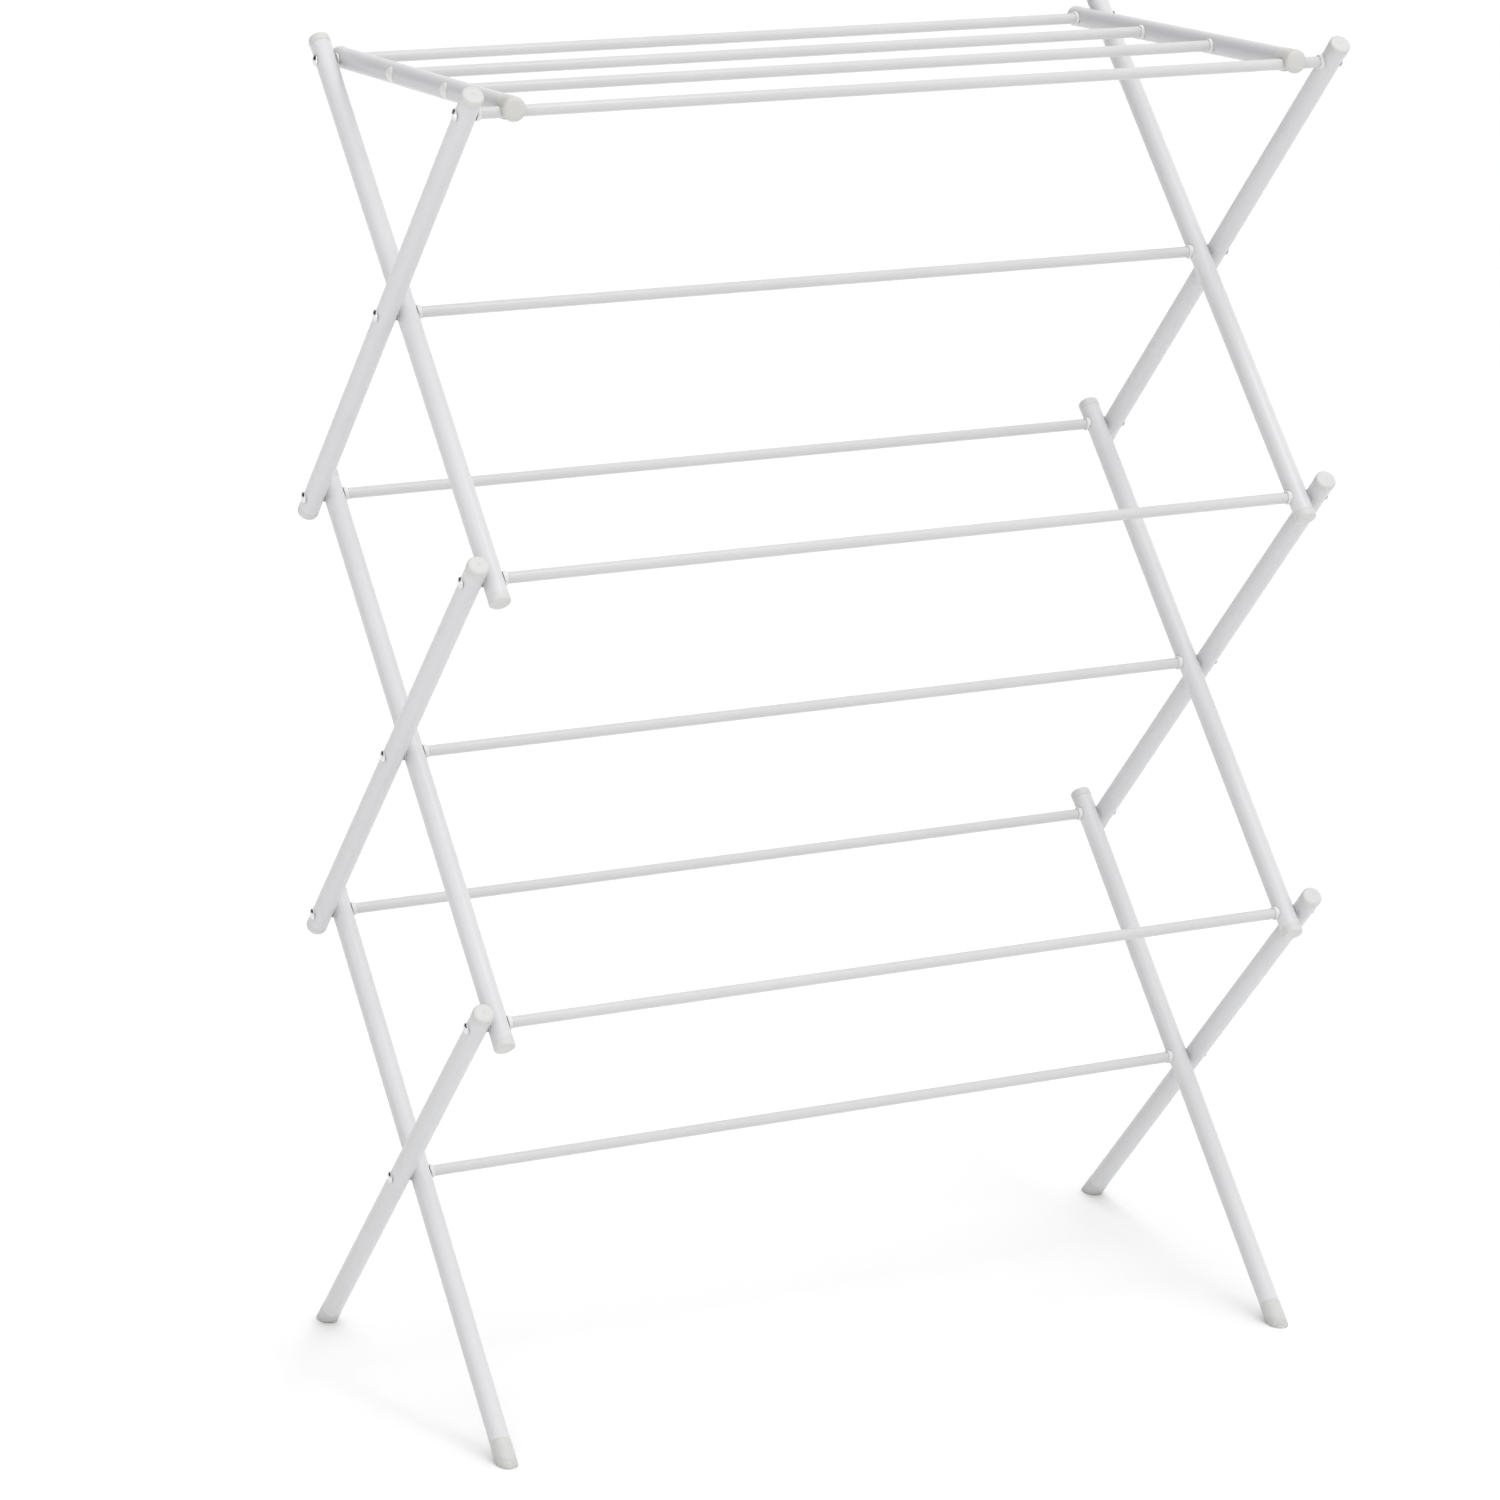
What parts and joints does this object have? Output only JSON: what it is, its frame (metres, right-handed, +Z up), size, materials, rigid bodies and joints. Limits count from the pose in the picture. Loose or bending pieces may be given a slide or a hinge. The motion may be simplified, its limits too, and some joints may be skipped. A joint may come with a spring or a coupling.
{
  "type": "clothes drying rack",
  "caption": "Free-standing folding clothes drying rack with scissor tiers of white tube, rods between the two ends and a hooked top shelf.",
  "frame": {"origin": "on the floor, at the middle of the box around the standing rack", "axes": "+X along the rods, -Y towards the front (the side the shelf hooks on), +Z up"},
  "size_m": [0.745, 0.368, 1.0618],
  "materials": {
    "tube_paint": "white powder coat, satin",
    "rod_paint": "white powder coat, smoother",
    "cap_plastic": "off-white moulded polyethylene",
    "foot_plastic": "off-white moulded polyethylene, scuffed",
    "hook_plastic": "warm off-white moulded polypropylene",
    "plug_nylon": "white nylon",
    "screw_chrome": "bright zinc-nickel plated steel"
  },
  "bodies": {
    "inner_frame_bottom": {"leg_inner_bottom_left": "tube_paint", "leg_inner_bottom_right": "tube_paint", "leg_caps_inner_bottom_upper": "cap_plastic", "foot_front_left": "foot_plastic", "foot_front_right": "foot_plastic", "rod_back_lower": "rod_paint", "rod_crossing_bottom": "rod_paint", "plugs_inner_bottom": "plug_nylon", "screws_inner_bottom": "screw_chrome", "washers_inner_bottom": "plug_nylon"},
    "outer_frame_bottom": {"leg_outer_bottom_left": "tube_paint", "leg_outer_bottom_right": "tube_paint", "leg_caps_outer_bottom_upper": "cap_plastic", "foot_back_left": "foot_plastic", "foot_back_right": "foot_plastic"},
    "inner_frame_middle": {"leg_inner_middle_left": "tube_paint", "leg_inner_middle_right": "tube_paint", "leg_caps_inner_middle_upper": "cap_plastic", "leg_caps_inner_middle_lower": "cap_plastic", "rod_back_upper": "rod_paint", "rod_crossing_middle": "rod_paint", "rod_front_lower": "rod_paint", "plugs_inner_middle": "plug_nylon", "screws_inner_middle": "screw_chrome", "washers_inner_middle": "plug_nylon"},
    "outer_frame_middle": {"leg_outer_middle_left": "tube_paint", "leg_outer_middle_right": "tube_paint", "leg_caps_outer_middle_upper": "cap_plastic", "leg_caps_outer_middle_lower": "cap_plastic"},
    "inner_frame_top": {"leg_inner_top_left": "tube_paint", "leg_inner_top_right": "tube_paint", "leg_caps_inner_top_upper": "cap_plastic", "leg_caps_inner_top_lower": "cap_plastic", "rod_crossing_top": "rod_paint", "rod_front_upper": "rod_paint", "plugs_inner_top": "plug_nylon", "screws_inner_top": "screw_chrome", "washers_inner_top": "plug_nylon"},
    "outer_frame_top": {"leg_outer_top_left": "tube_paint", "leg_outer_top_right": "tube_paint", "leg_caps_outer_top_upper": "cap_plastic", "leg_caps_outer_top_lower": "cap_plastic", "rod_top_front": "rod_paint", "plugs_top_front": "plug_nylon", "screws_top_front": "screw_chrome"},
    "shelf_hinge_rod": {"rod_shelf_hinge": "rod_paint", "plugs_shelf_hinge": "plug_nylon", "screws_shelf_hinge": "screw_chrome", "washers_shelf_hinge": "plug_nylon"},
    "shelf": {"rod_shelf_back": "rod_paint", "rod_shelf_front": "rod_paint", "plugs_shelf_rods": "plug_nylon", "shelf_rear_caps": "cap_plastic", "shelf_bar_left": "tube_paint", "hook_cap_left": "hook_plastic", "shelf_bar_right": "tube_paint", "hook_cap_right": "hook_plastic"}
  },
  "joints": [
    {"name": "fold", "type": "hinge", "parent": "inner_frame_bottom", "child": "outer_frame_bottom", "pos_m": [0, 0, 0.1814], "axis": [-1, 0, 0], "range_deg": [0, 82.5]},
    {"name": "lower_back_joint", "type": "hinge", "parent": "inner_frame_bottom", "child": "outer_frame_middle", "pos_m": [0, 0.1633, 0.3533], "axis": [-1, 0, 0], "range_deg": [0, 82.5]},
    {"name": "middle_crossing", "type": "hinge", "parent": "outer_frame_middle", "child": "inner_frame_middle", "pos_m": [0, 0, 0.5252], "axis": [-1, 0, 0], "range_deg": [-82.5, 0]},
    {"name": "upper_front_joint", "type": "hinge", "parent": "outer_frame_middle", "child": "inner_frame_top", "pos_m": [0, -0.1633, 0.6971], "axis": [-1, 0, 0], "range_deg": [-82.5, 0]},
    {"name": "top_crossing", "type": "hinge", "parent": "inner_frame_top", "child": "outer_frame_top", "pos_m": [0, 0, 0.869], "axis": [-1, 0, 0], "range_deg": [0, 82.5]},
    {"name": "shelf_swing", "type": "hinge", "parent": "inner_frame_top", "child": "shelf_hinge_rod", "pos_m": [0, 0.1633, 1.0409], "axis": [-1, 0, 0], "range_deg": [0, 276.43]},
    {"name": "shelf_lift", "type": "hinge", "parent": "shelf_hinge_rod", "child": "shelf", "pos_m": [0, 0.1633, 1.0409], "axis": [-1, 0, 0], "range_deg": [0, 30]}
  ],
  "couplings": [
    {"joint": "lower_back_joint", "follows": "fold", "ratio": 1},
    {"joint": "middle_crossing", "follows": "fold", "ratio": -1},
    {"joint": "upper_front_joint", "follows": "fold", "ratio": -1},
    {"joint": "top_crossing", "follows": "fold", "ratio": 1},
    {"joint": "shelf_swing", "follows": "fold", "ratio": 3.35}
  ]
}
